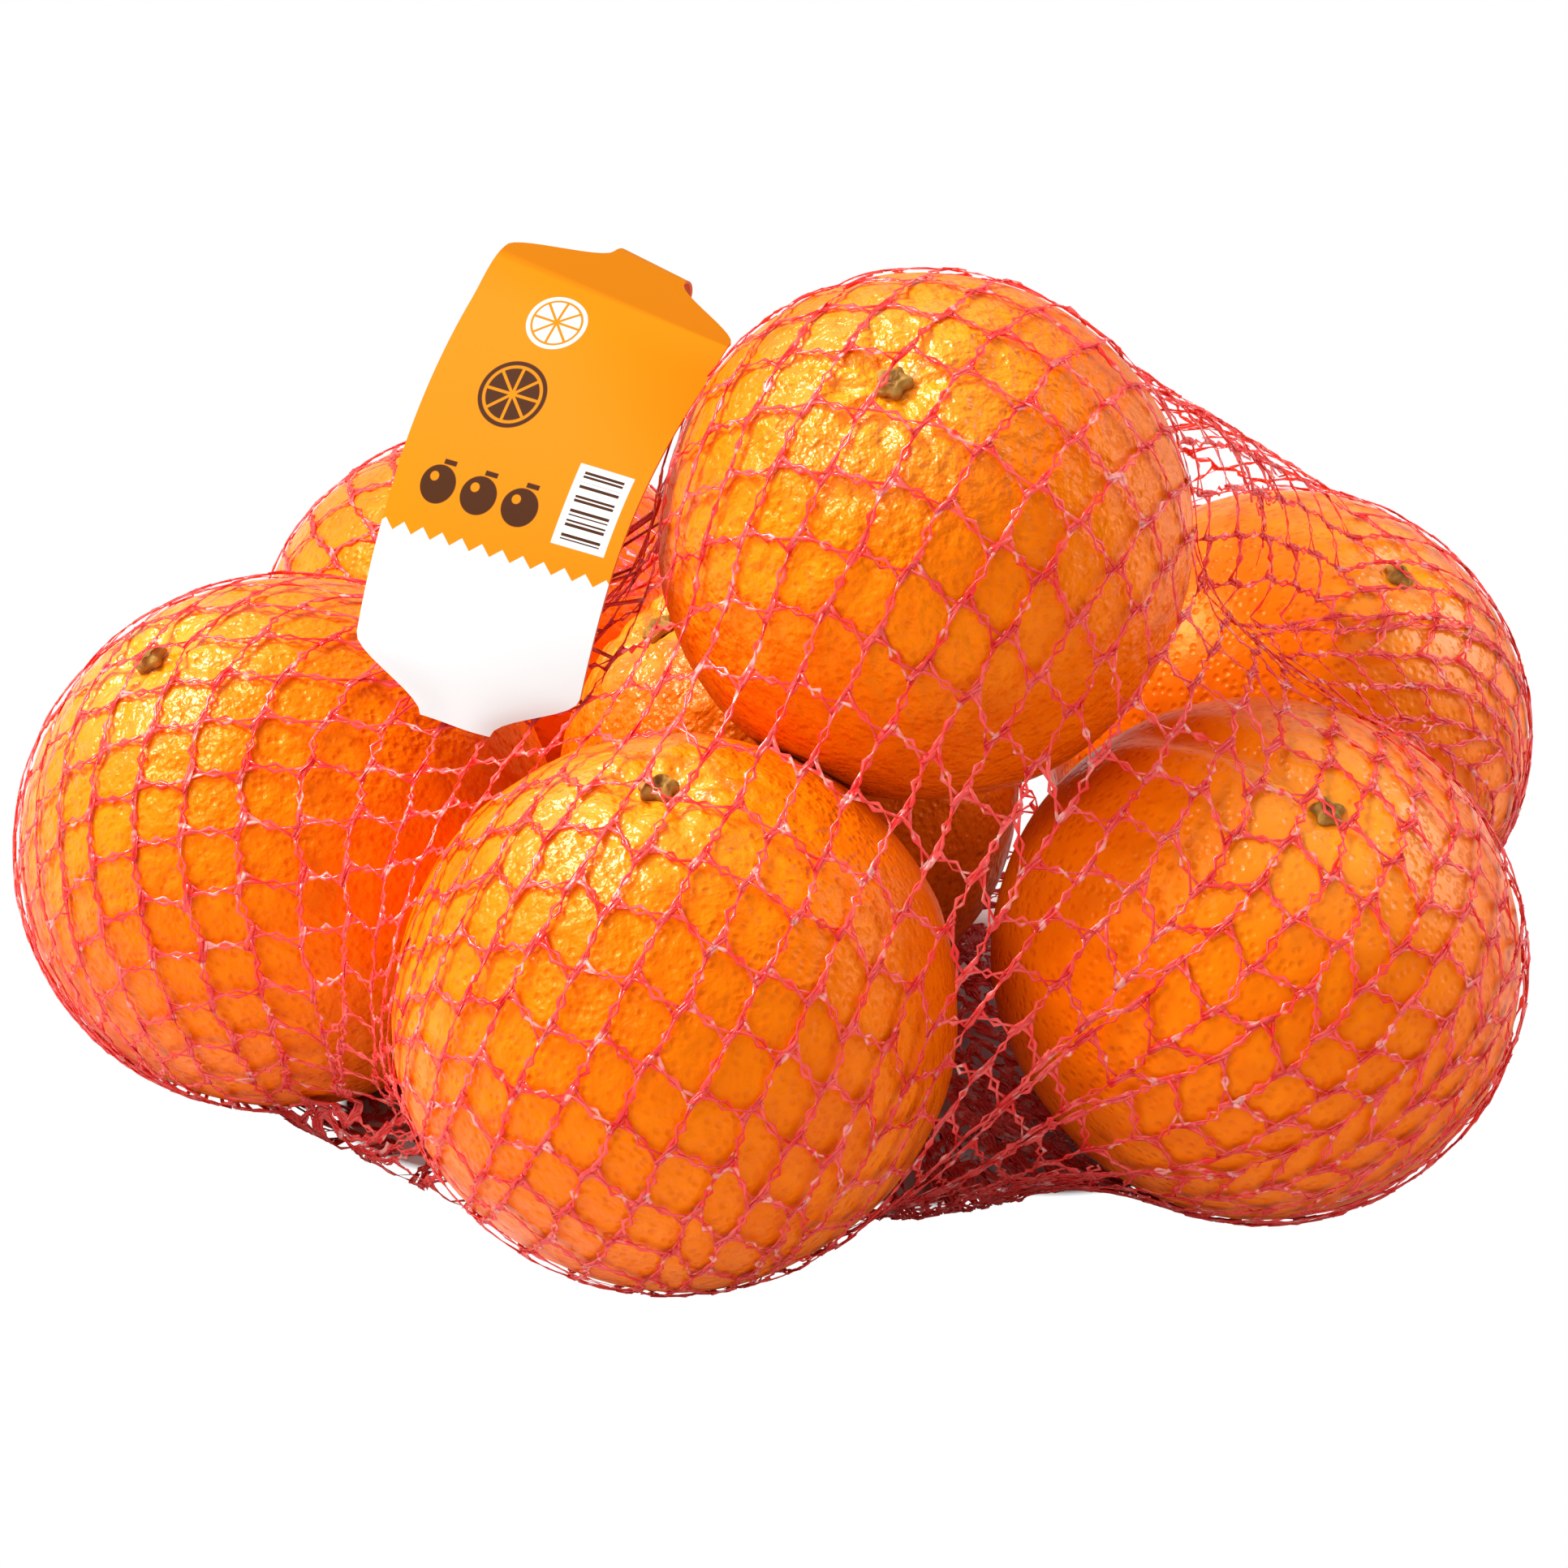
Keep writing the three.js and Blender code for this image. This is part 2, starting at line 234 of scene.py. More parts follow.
def srgb(red, green, blue):
    """A colour given as 0 to 255 on a screen, as the linear colour that a shader takes."""
    shares = [value / 255 for value in (red, green, blue)]
    return [*(s / 12.92 if s <= 0.04045 else ((s + 0.055) / 1.055) ** 2.4 for s in shares), 1.0]


def mix(tree, share, first, second):
    node = add(tree, "ShaderNodeMix", {0: share, 6: first, 7: second}, data_type="RGBA")
    return node.outputs[2]


def math_node(tree, operation, *values, clamp=False):
    node = add(tree, "ShaderNodeMath", dict(enumerate(values)), operation=operation, use_clamp=clamp)
    return node.outputs[0]


def remap(tree, value, low, high, to_low=0.0, to_high=1.0):
    node = add(tree, "ShaderNodeMapRange", {0: value, 1: low, 2: high, 3: to_low, 4: to_high})
    return node.outputs[0]


peel, tree, shader = new_material("orange peel")
place = add(tree, "ShaderNodeTexCoord").outputs["Object"]
near_stem = add(tree, "ShaderNodeAttribute", attribute_name="near_stem").outputs["Fac"]
rough_peel = add(tree, "ShaderNodeAttribute", attribute_name="rough_peel").outputs["Fac"]
broad = add(tree, "ShaderNodeTexNoise", {"Vector": place, "Scale": 38.0, "Detail": 2.0}).outputs["Fac"]
mottle = add(tree, "ShaderNodeTexNoise", {"Vector": place, "Scale": 210.0, "Detail": 3.0}).outputs["Fac"]
pore = add(tree, "ShaderNodeTexVoronoi", {"Vector": place, "Scale": 620.0, "Randomness": 1.0})
pit = remap(tree, pore.outputs["Distance"], 0.12, 0.46)
pebble = add(tree, "ShaderNodeTexNoise", {"Vector": place, "Scale": 270.0, "Detail": 3.0}).outputs["Fac"]
colour = mix(tree, remap(tree, broad, 0.3, 0.7), srgb(226, 98, 1), srgb(236, 113, 2))
colour = mix(tree, remap(tree, mottle, 0.42, 0.72, 0.0, 0.45), colour, srgb(246, 127, 3))
colour = mix(tree, remap(tree, pit, 0.0, 1.0, 0.32, 0.0), colour, srgb(222, 78, 1))
close = math_node(tree, "POWER", near_stem, 2.0)
colour = mix(tree, math_node(tree, "MULTIPLY", close, 0.7), colour, srgb(253, 156, 14))
tree.links.new(colour, shader.inputs["Base Color"])
shader.inputs["Roughness"].default_value = 0.34
shader.inputs["Specular IOR Level"].default_value = 0.3
shader.inputs["Specular Tint"].default_value = srgb(255, 204, 96)
shader.inputs["Coat Roughness"].default_value = 0.24
wax = remap(tree, near_stem, 0.3, 0.85, 0.0, 0.7)
tree.links.new(wax, shader.inputs["Coat Weight"])
pebbly = math_node(tree, "MULTIPLY", rough_peel, remap(tree, near_stem, 0.0, 0.6, 0.7, 1.1))
pebble_high = math_node(tree, "MULTIPLY", remap(tree, pebble, 0.3, 0.7), pebbly)
height = math_node(tree, "MULTIPLY_ADD", pebble_high, 0.9, math_node(tree, "MULTIPLY", pit, 0.3))
bump = add(tree, "ShaderNodeBump", {"Height": height, "Distance": 0.00065, "Strength": 0.9})
tree.links.new(bump.outputs["Normal"], shader.inputs["Normal"])
tree.links.new(bump.outputs["Normal"], shader.inputs["Coat Normal"])

for name, obj in peels.items():
    obj.data.materials.append(peel)
    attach(obj, "root")
    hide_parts("net_with_oranges")

# The stem buttons: the dry olive-brown star that is left where each orange was cut from its stalk.
# Each is a low lobed disc with a sunken middle, and it sits down in the dimple of its orange.

BUTTON_RADIUS = 2.7
BUTTON_DEPTH = 1.3  # of its rim, under the orange's round
BUTTON_LOBES = 5


def sculpt_button(obj, facts, seed):
    rng = np.random.default_rng(seed)
    points = vertices_of(obj.data) / MM
    out = np.hypot(points[:, 0], points[:, 1])
    turn = np.arctan2(points[:, 1], points[:, 0])
    lobes = 1 + 0.16 * np.cos(BUTTON_LOBES * turn + rng.uniform(0, 6)) + 0.05 * np.cos(3 * turn + seed)
    size = rng.uniform(0.9, 1.1) * BUTTON_RADIUS
    share = out / BUTTON_RADIUS
    top = points[:, 2] > 0
    rim = 0.55 * np.exp(-(((share - 0.62) / 0.2) ** 2)) - 0.35 * np.exp(-((share / 0.3) ** 2))
    height = np.where(top, 0.5 * np.sqrt(np.maximum(0, 1 - share**2)) + rim, -0.9)
    height += top * 0.16 * uneven(points + seed, 0.9, seed)
    points[:, :2] *= (lobes * size / BUTTON_RADIUS)[:, None]
    points[:, 2] = height - BUTTON_DEPTH
    turned = Vector((0, 0, 1)).rotation_difference(Vector(facts["stem"])).to_matrix()
    stem = facts["stem"]
    pole = facts["middle"] + stem * facts["radius"] * FLATNESS
    set_vertices(obj.data, (points @ np.array(turned).T + pole) * MM)
    set_attribute(obj.data, "from_middle", share)


button, tree, shader = new_material("dry stem button")
place = add(tree, "ShaderNodeTexCoord").outputs["Object"]
from_middle = add(tree, "ShaderNodeAttribute", attribute_name="from_middle").outputs["Fac"]
speck = add(tree, "ShaderNodeTexNoise", {"Vector": place, "Scale": 900.0, "Detail": 3.0}).outputs["Fac"]
colour = mix(tree, remap(tree, from_middle, 0.2, 0.8), srgb(104, 64, 22), srgb(150, 110, 44))
colour = mix(tree, remap(tree, speck, 0.4, 0.7, 0.0, 0.6), colour, srgb(178, 138, 72))
tree.links.new(colour, shader.inputs["Base Color"])
shader.inputs["Roughness"].default_value = 0.8
shader.inputs["Specular IOR Level"].default_value = 0.15
bump = add(tree, "ShaderNodeBump", {"Height": speck, "Distance": 0.0004, "Strength": 0.8})
tree.links.new(bump.outputs["Normal"], shader.inputs["Normal"])

for seed, (name, facts) in enumerate(ORANGES.items(), 41):
    bpy.ops.mesh.primitive_uv_sphere_add(segments=40, ring_count=24, radius=BUTTON_RADIUS * MM)
    obj = bpy.context.object
    obj.name = name.replace("orange", "stem_button")
    bpy.ops.object.shade_smooth()
    sculpt_button(obj, facts, seed)
    obj.data.materials.append(button)
    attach(obj, "root")
    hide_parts("net_with_oranges")

# The net: a knitted tube of thin translucent red tape, pulled taut over the fruit and gathered at its
# two ends. Its knots start on an even pattern round the tube, then settle on the taut skin until the
# legs are about equal. Two chains of tape run side by side through each knot.

TUBE_COURSES, TUBE_AROUND = 54, 54
LEG_LENGTH = 8.6
TUBE_ENDS = ((-90.0, -25.0, 2.0), (112.0, 5.0, 6.0))  # where the courses close in on each end
END_ANGLE = 0.12  # of the first and last course round its end, seen from the heart
TUBE_TWIST = 1.6
SETTLE_ROUNDS, SETTLE_STEP, SMOOTHING = 500, 0.25, 0.02
TAUT_PULL, SLACK_PUSH = 0.9, 0.25  # how hard a long leg pulls its knots, and a short one pushes them
HEART = np.array([0.8, 6.0, 40.0])  # a point that sees the whole skin
SLACK = 0.35  # of the net over the fruit
RINGS = {
    "left": {"ring": (-111.2, 7.6, 6.0), "out": (-0.97, 0.2, 0.0)},
    "right": {"ring": (110.0, -4.5, 12.5), "out": (0.86, 0.5, -0.08)},
    "label": {"ring": (-40.3, -25.5, 87.2), "out": (-0.05, -0.35, 0.935)},
}
KNOT_HALF, KNOT_STRAY = 1.9, 0.28
KNOT_SHEAR = 0.42  # how far the knots lean across the tube
CHAIN_APART = 0.3
TAPE_WIDTH, TAPE_TIE, TAPE_THICKNESS = 0.66, 0.32, 0.08
SKIN_STEPS = (180, 360)
SPANS = (  # where the taut net crosses from one orange to the next: the ends and the radius of its round
    ((35.5, -22.8, 113.0), (86.0, 46.8, 60.4), 20.0),
    ((-79.8, -26.2, 7.5), (-50.4, -53.4, 7.5), 9.0),
)

for facts in RINGS.values():
    facts["ring"], facts["out"] = np.array(facts["ring"]), unit(facts["out"])


def ball_exits(rays):
    """How far from the heart each ray leaves the last orange that it goes through."""
    furthest = np.zeros(len(rays))
    for facts in ORANGES.values():
        stem = facts["stem"]

        def rounded(v):
            return v + np.outer(v @ stem, stem) * (1 / FLATNESS - 1)

        start = rounded((HEART - facts["middle"])[None])[0]
        way = rounded(rays)
        square, half = (way * way).sum(1), way @ start
        rest = start @ start - (facts["radius"] + SLACK) ** 2
        root = half * half - square * rest
        far = np.where(root > 0, (np.sqrt(np.maximum(root, 0)) - half) / square, 0)
        furthest = np.maximum(furthest, far)
    for first, last, radius in SPANS:
        for share in np.linspace(0, 1, 13):
            start = HEART - ((1 - share) * np.array(first) + share * np.array(last))
            half = rays @ start
            root = half * half - start @ start + radius**2
            furthest = np.maximum(furthest, np.where(root > 0, np.sqrt(np.maximum(root, 0)) - half, 0))
    return furthest


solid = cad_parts["net_with_oranges"].data
skin = BVHTree.FromPolygons(
    [v.co / MM for v in solid.vertices], [tuple(p.vertices) for p in solid.polygons])
tilt, turn = np.meshgrid(
    np.arange(SKIN_STEPS[0] + 1) / SKIN_STEPS[0] * math.pi,
    np.arange(SKIN_STEPS[1]) / SKIN_STEPS[1] * 2 * math.pi, indexing="ij",
)
rays = np.stack([np.sin(tilt) * np.cos(turn), np.sin(tilt) * np.sin(turn), np.cos(tilt)], -1).reshape(-1, 3)
skin_reach = np.array([skin.ray_cast(Vector(HEART), Vector(ray))[3] or 50.0 for ray in rays])
for facts in RINGS.values():
    towards = facts["ring"] - HEART
    length = np.linalg.norm(towards)
    near = np.linalg.norm(rays * length - towards, axis=1) < 8
    skin_reach = np.where(near, np.minimum(skin_reach, length - 2), skin_reach)
skin_reach = skin_reach.reshape(tilt.shape)


def on_skin(points, lift=0.0):
    """The points moved along their rays from the heart onto the taut skin, or lifted off it."""
    rays = unit(points - HEART)
    down = np.arccos(np.clip(rays[:, 2], -1, 1)) / math.pi * SKIN_STEPS[0]
    about = (np.arctan2(rays[:, 1], rays[:, 0]) % (2 * math.pi)) / (2 * math.pi) * SKIN_STEPS[1]
    i = np.minimum(down.astype(int), SKIN_STEPS[0] - 1)
    j = about.astype(int) % SKIN_STEPS[1]
    k = (j + 1) % SKIN_STEPS[1]
    u, v = down - i, about - np.floor(about)
    reach = skin_reach[i, j] * (1 - u) * (1 - v) + skin_reach[i + 1, j] * u * (1 - v)
    reach += skin_reach[i, k] * (1 - u) * v + skin_reach[i + 1, k] * u * v
    reach = np.maximum(reach, ball_exits(rays)) + lift
    floor = np.where(rays[:, 2] < 0, (HEART[2] - 0.15) / np.maximum(-rays[:, 2], 1e-9), np.inf)
    return HEART + rays * np.minimum(reach, floor)[:, None]


def skin_normals(points):
    out = unit(points - HEART)
    first = unit(np.cross(out, [0.3, 0.2, 0.93]))
    second = np.cross(out, first)
    a = on_skin(points + 1.2 * first) - on_skin(points - 1.2 * first)
    b = on_skin(points + 1.2 * second) - on_skin(points - 1.2 * second)
    return unit(np.cross(a, b))


# The even start: rings about the left end, moved over so that the last ring closes on the right end
left_way, right_way = (unit(np.array(end) - HEART) for end in TUBE_ENDS)
side_way = unit(np.cross([0, 0, 1.0], left_way))
up_way = np.cross(left_way, side_way)
far_end = complex(right_way @ side_way, right_way @ up_way) / (1 + right_way @ left_way)
course, place_in_course = np.meshgrid(np.arange(TUBE_COURSES), np.arange(TUBE_AROUND), indexing="ij")
open_angle = END_ANGLE + (math.pi - 2 * END_ANGLE) * course / (TUBE_COURSES - 1)
turn = (2 * place_in_course + course % 2) / TUBE_AROUND * math.pi
turn = turn + TUBE_TWIST * (course / (TUBE_COURSES - 1) - 0.5)
flat = (np.tan(open_angle / 2) * np.exp(1j * turn)).ravel()
flat = flat / (1 + flat / far_end)
size = np.abs(flat)[:, None] ** 2
starts = 2 * flat.real[:, None] * side_way + 2 * flat.imag[:, None] * up_way + (1 - size) * left_way
knots = on_skin(HEART + starts / (1 + size))

course, place_in_course = course.ravel(), place_in_course.ravel()
step = np.where(course % 2 == 0, -1, 1)
ahead = np.stack([place_in_course, place_in_course + step], 1) % TUBE_AROUND
next_knots = (course[:, None] + 1) * TUBE_AROUND + ahead
last_knots = (course[:, None] - 1) * TUBE_AROUND + ahead
joined = np.concatenate([next_knots, last_knots], 1)
is_joined = (joined >= 0) & (joined < len(knots))
joined = np.where(is_joined, joined, 0)
held = (course == 0) | (course == TUBE_COURSES - 1)
for _ in range(SETTLE_ROUNDS):
    legs = knots[joined] - knots[:, None]
    lengths = np.linalg.norm(legs, axis=2) + 1e-9
    pull = np.where(lengths > LEG_LENGTH, TAUT_PULL, SLACK_PUSH) * (lengths - LEG_LENGTH) / lengths
    moved = SETTLE_STEP * (legs * (pull * is_joined)[..., None]).sum(1)
    moved += SMOOTHING * (legs * is_joined[..., None]).sum(1) / is_joined.sum(1)[:, None]
    moved[held] = 0
    knots = on_skin(knots + moved)

# The label's clip pinches the knots round its ring together
PINCH_PULL, PINCH_REACH, PINCHED_KNOTS = 0.85, 24, 40
pinch = RINGS["label"]["ring"] - 4 * RINGS["label"]["out"]
near = np.linalg.norm(knots - pinch, axis=1)
pull = PINCH_PULL * np.clip(1 - near / PINCH_REACH, 0, 1) ** 1.5
knots = on_skin(knots + (pinch - knots) * pull[:, None])

rng = np.random.default_rng(5)
knots = on_skin(knots + rng.normal(0, KNOT_STRAY, knots.shape))
normals = skin_normals(knots)
legs = (knots[joined] - knots[:, None]) * is_joined[..., None]
wale = unit(legs[:, :2].sum(1) - legs[:, 2:].sum(1))
across = np.cross(normals, wale)
wale = unit(wale + KNOT_SHEAR * across)
across = np.cross(normals, wale)
knot_half = KNOT_HALF * rng.uniform(0.85, 1.15, len(knots))[:, None]


class Tapes:
    """Gathers flat tapes, each along its own line of points, and makes one joined mesh of them."""

    def __init__(self):
        self.corners, self.faces, self.count = [], [], 0

    def lay(self, lines, normals, widths, tilts):
        """lines is tapes by points by 3; each tape lies on its normals, turned about its line by a tilt."""
        tapes, points = lines.shape[:2]
        along = np.empty_like(lines)
        along[:, 1:-1] = lines[:, 2:] - lines[:, :-2]
        along[:, 0], along[:, -1] = lines[:, 1] - lines[:, 0], lines[:, -1] - lines[:, -2]
        along = unit(along + 1e-12)
        side = unit(np.cross(normals, along))
        up = np.cross(along, side)
        cos, sin = np.cos(tilts)[..., None], np.sin(tilts)[..., None]
        side, up = side * cos + up * sin, up * cos - side * sin
        side = side * (widths[..., None] / 2)
        up = up * (TAPE_THICKNESS / 2)
        ring = np.stack([lines + side + up, lines - side + up, lines - side - up, lines + side - up], 2)
        start = self.count + np.arange(tapes)[:, None, None] * points * 4
        first = start + np.arange(points - 1)[None, :, None] * 4 + np.arange(4)
        second = start + np.arange(points - 1)[None, :, None] * 4 + (np.arange(4) + 1) % 4
        walls = np.stack([first, first + 4, second + 4, second], -1).reshape(-1, 4)
        starts = start[:, 0] + np.arange(4)
        ends = start[:, 0] + (points - 1) * 4 + np.arange(4)[::-1]
        self.corners.append(ring.reshape(-1, 3))
        self.faces += [walls, starts, ends]
        self.count += tapes * points * 4

    def build(self, name):
        corners, faces = np.concatenate(self.corners), np.concatenate(self.faces)
        mesh = bpy.data.meshes.new(name)
        mesh.vertices.add(len(corners))
        mesh.vertices.foreach_set("co", (corners * MM).astype(np.float32).ravel())
        mesh.loops.add(faces.size)
        mesh.loops.foreach_set("vertex_index", faces.astype(np.int32).ravel())
        mesh.polygons.add(len(faces))
        mesh.polygons.foreach_set("loop_start", np.arange(0, faces.size, 4, dtype=np.int32))
        mesh.update(calc_edges=True)
        mesh.validate()
        obj = bpy.data.objects.new(name, mesh)
        bpy.context.collection.objects.link(obj)
        return obj


def off_floor(lines):
    lines[..., 2] = np.maximum(lines[..., 2], 0.3)
    return lines


def lay_on_skin(tapes, lines, widths, rng):
    """Lays tapes along lines that may cut through the skin, at slightly different heights over it."""
    flat = lines.reshape(-1, 3)
    heights = np.repeat(rng.uniform(0.0, 0.3, len(lines)), lines.shape[1])
    flat = on_skin(flat, heights)
    ups = skin_normals(flat).reshape(lines.shape)
    tilts = rng.normal(0, 0.30, len(lines))[:, None] + rng.normal(0, 0.22, lines.shape[:2])
    widths = widths * rng.uniform(0.8, 1.15, (len(lines), 1))
    tapes.lay(off_floor(flat.reshape(lines.shape)), ups, widths, tilts)


BUNCHES = (((42, -50, 6), 24), ((14, -72, 3), 13), ((62, 12, 98), 19))  # middle and reach
BUNCH_LAYERS = 2  # of slack net that lies doubled there


def is_bunched(points):
    near = [np.linalg.norm(points - middle, axis=1) < reach for middle, reach in BUNCHES]
    return np.any(near, axis=0)


NET_PARTS = 5
CHAIN_STEPS = np.linspace(-1, 1, 4)
TIES_AT, TIE_LOOSE = (0.34, 0.68), 0.16  # along a leg, and how far a tie strays
LEG_WIDTHS = np.array([0.8, 1.0, 0.5, 1.0, 0.5, 0.8]) * TAPE_WIDTH
net_parts = []
for part in range(NET_PARTS):
    tapes = Tapes()
    low, high = (round(TUBE_COURSES * share / NET_PARTS) for share in (part, part + 1))
    mine = np.flatnonzero((course >= low) & (course < high))
    here, along, cross, half = knots[mine], wale[mine], across[mine], knot_half[mine]
    for side in (-1, 1):
        wobble = rng.normal(0, 0.10, (len(mine), len(CHAIN_STEPS), 1))
        shift = side * CHAIN_APART * (1 - 0.35 * CHAIN_STEPS**2)[None, :, None] + wobble
        line = here[:, None] + (half * 1.1)[:, None] * along[:, None] * CHAIN_STEPS[None, :, None]
        lay_on_skin(tapes, line + cross[:, None] * shift, np.full(line.shape[:2], TAPE_WIDTH), rng)
    swap = rng.choice([-1, 1], len(mine))[:, None, None] * CHAIN_STEPS[None, :, None] * CHAIN_APART
    line = here[:, None] + half[:, None] * along[:, None] * CHAIN_STEPS[None, :, None]
    lay_on_skin(tapes, line + cross[:, None] * swap, np.full(line.shape[:2], TAPE_TIE * 1.6), rng)
    for which in (0, 1):
        mine = np.flatnonzero((course >= low) & (course < min(high, TUBE_COURSES - 1)))
        there = next_knots[mine, which]
        start, end = knots[mine], knots[there]
        from_way, to_way = wale[mine] * knot_half[mine], wale[there] * knot_half[there]
        begin, finish = start + 0.5 * from_way, end - 0.5 * to_way
        sideways = unit(np.cross(skin_normals((begin + finish) / 2), finish - begin))
        reach = finish - begin
        ties = [begin + reach * share + rng.normal(0, TIE_LOOSE, begin.shape) for share in TIES_AT]
        for tape in (0, 1):
            first = start + from_way * (1.0 if tape else 0.05)
            last = end - to_way * (1.0 if tape else 0.05)
            bulge = sideways * (rng.uniform(0.3, 0.75, (len(mine), 1)) * (1 if tape else -1))
            line = np.stack([
                first, (first + ties[0]) / 2 - 0.3 * bulge, ties[0], (ties[0] + ties[1]) / 2 + bulge,
                ties[1], last,
            ], 1)
            lay_on_skin(tapes, line, np.broadcast_to(LEG_WIDTHS, line.shape[:2]), rng)
            again = line[is_bunched((first + last) / 2)]
            for _ in range(BUNCH_LAYERS):
                moved = again + rng.normal(0, 1.7, (len(again), 1, 3)) + rng.normal(0, 0.5, again.shape)
                lay_on_skin(tapes, moved, np.broadcast_to(LEG_WIDTHS, moved.shape[:2]), rng)
    net_parts.append(tapes)


def gather(tapes, ends, from_middle, facts, rng):
    """Runs tapes from points on the skin into a clip's ring and out of it as a short tuft."""
    ring, out = facts["ring"], facts["out"]
    mouth = ring - 3.5 * out
    first = unit(np.cross(out, [0.1, 0.2, 0.97]))
    second = np.cross(out, first)
    count = len(ends)
    spin, spread = rng.uniform(0, 2 * math.pi, count), np.sqrt(rng.uniform(0, 1, count))
    round_ring = np.cos(spin)[:, None] * first + np.sin(spin)[:, None] * second
    shares = np.array([0.0, 0.2, 0.4, 0.6, 0.8, 1.0])
    middle = from_middle + (mouth - from_middle) * shares[:, None]
    if mouth[2] > 20:
        middle[:-1] = on_skin(middle[:-1], 1.2)
    else:  # low down, the rope runs under the orange beside the clip
        middle[:-1, 2] = np.minimum(middle[:-1, 2], 1.8)
    close = (1 - shares[None, :, None]) ** 2.2
    line = middle[None] + (ends - from_middle)[:, None] * close
    line += (round_ring * spread[:, None])[:, None] * 2.4 * (1 - close)
    line[:, 0] = ends
    beyond = []
    for along, wide in ((0.0, 2.3), (3.0, 2.4), (5.8, 3.4), (9.2, 4.4)):
        here = ring + out * along * rng.uniform(0.82, 1.0, count)[:, None] if along else ring + out * 0
        beyond.append(here + round_ring * (spread * wide * rng.uniform(0.8, 1.0, count))[:, None])
    beyond = np.stack(np.broadcast_arrays(*beyond), 1)
    line = np.concatenate([line, beyond], 1)
    ups = unit(line - middle[-1] + 1e-6)
    tilts = rng.uniform(-1.2, 1.2, line.shape[:2])
    tapes.lay(off_floor(line), ups, np.full(line.shape[:2], TAPE_WIDTH), tilts)


for end, facts, tapes in ((0, RINGS["left"], net_parts[0]), (-1, RINGS["right"], net_parts[-1])):
    mine = knots.reshape(TUBE_COURSES, TUBE_AROUND, 3)[end]
    for _ in range(2):
        gather(tapes, mine, mine.mean(0), facts, rng)
near_pinch = knots[np.argsort(np.linalg.norm(knots - pinch, axis=1))[:PINCHED_KNOTS]]
for _ in range(2):
    gather(net_parts[1], near_pinch, pinch, RINGS["label"], rng)

tape, tree, shader = new_material("net tape")
place = add(tree, "ShaderNodeTexCoord").outputs["Object"]
streak = add(tree, "ShaderNodeTexNoise", {"Vector": place, "Scale": 260.0, "Detail": 2.0}).outputs["Fac"]
colour = mix(tree, remap(tree, streak, 0.35, 0.65), srgb(240, 52, 50), srgb(255, 112, 106))
# Painted glints: pale, near-white patches mixed into the tape's colour where light would catch the tape.
painted_glint = add(tree, "ShaderNodeTexNoise", {"Vector": place, "Scale": 430.0, "Detail": 1.0}).outputs["Fac"]
colour = mix(tree, remap(tree, painted_glint, 0.61, 0.69, 0.0, 0.7), colour, srgb(255, 214, 206))
tree.links.new(colour, shader.inputs["Base Color"])
shader.inputs["Roughness"].default_value = 0.2
shader.inputs["Specular IOR Level"].default_value = 0.6
clear = add(tree, "ShaderNodeBsdfTransparent", {"Color": srgb(255, 178, 168)})
through = add(tree, "ShaderNodeBsdfTranslucent", {"Color": srgb(250, 84, 78)})
lit = add(tree, "ShaderNodeMixShader", {0: 0.3, 1: shader.outputs[0], 2: through.outputs[0]})
seen = add(tree, "ShaderNodeMixShader", {0: 0.24, 1: lit.outputs[0], 2: clear.outputs[0]})
tree.links.new(seen.outputs[0], tree.nodes["Material Output"].inputs["Surface"])

for number, tapes in enumerate(net_parts, 1):
    obj = tapes.build(f"net_part_{number}")
    obj.data.materials.append(tape)
    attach(obj, "root")
    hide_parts("net_with_oranges")

# The label: one strip of satin plastic film, printed orange over white. Its leaf hangs in front with a
# straight cut end, then the film creases, rolls over and runs down behind into the clip.

LABEL_FOOT = (-52.6, -45.4, 77.2)  # the middle of that cut
LABEL_TURN, LABEL_LEAN, LABEL_ROLL = -27.5, -29.0, 4.4  # degrees
FILM_THICKNESS = 0.4
LEAF_WIDTH, TONGUE_WIDTH, SHOULDER = 40.8, 13.0, 9.5
LABEL_TWIST, TWIST_START = -11.0, 25.0
LEAF_LENGTH, CREASE_LENGTH, TOP_LENGTH, ROLL_RADIUS = 72.8, 1.5, 10.0, 3.2
BACK_START, BACK_END, BACK_LENGTH = -186.0, -193.0, 46.0
ROLL_LENGTH = math.radians(-50 - BACK_START) * ROLL_RADIUS
STRETCHES = (  # length, angle at its start and end, steps
    (LEAF_LENGTH, 20.0, -33.5, 68), (CREASE_LENGTH, -33.5, -50.0, 4), (TOP_LENGTH, -50.0, -50.0, 12),
    (ROLL_LENGTH, -50.0, BACK_START, 16), (BACK_LENGTH, BACK_START, BACK_END, 24),
)
FILM_ACROSS = 28


def film_width(along):
    from_end = min(along, LEAF_LENGTH + CREASE_LENGTH + TOP_LENGTH - along)
    return TONGUE_WIDTH + (LEAF_WIDTH - TONGUE_WIDTH) * float(smoothstep(0, SHOULDER, from_end))


stations = [(0.0, 0.0, 0.0, 20.0)]
for length, from_angle, to_angle, steps in STRETCHES:
    for number in range(steps):
        behind, up, along, _ = stations[-1]
        angle = math.radians(from_angle + (to_angle - from_angle) * (number + 0.5) / steps)
        behind -= math.sin(angle) * length / steps
        up += math.cos(angle) * length / steps
        stations.append((behind, up, along + length / steps,
                         from_angle + (to_angle - from_angle) * (number + 1) / steps))

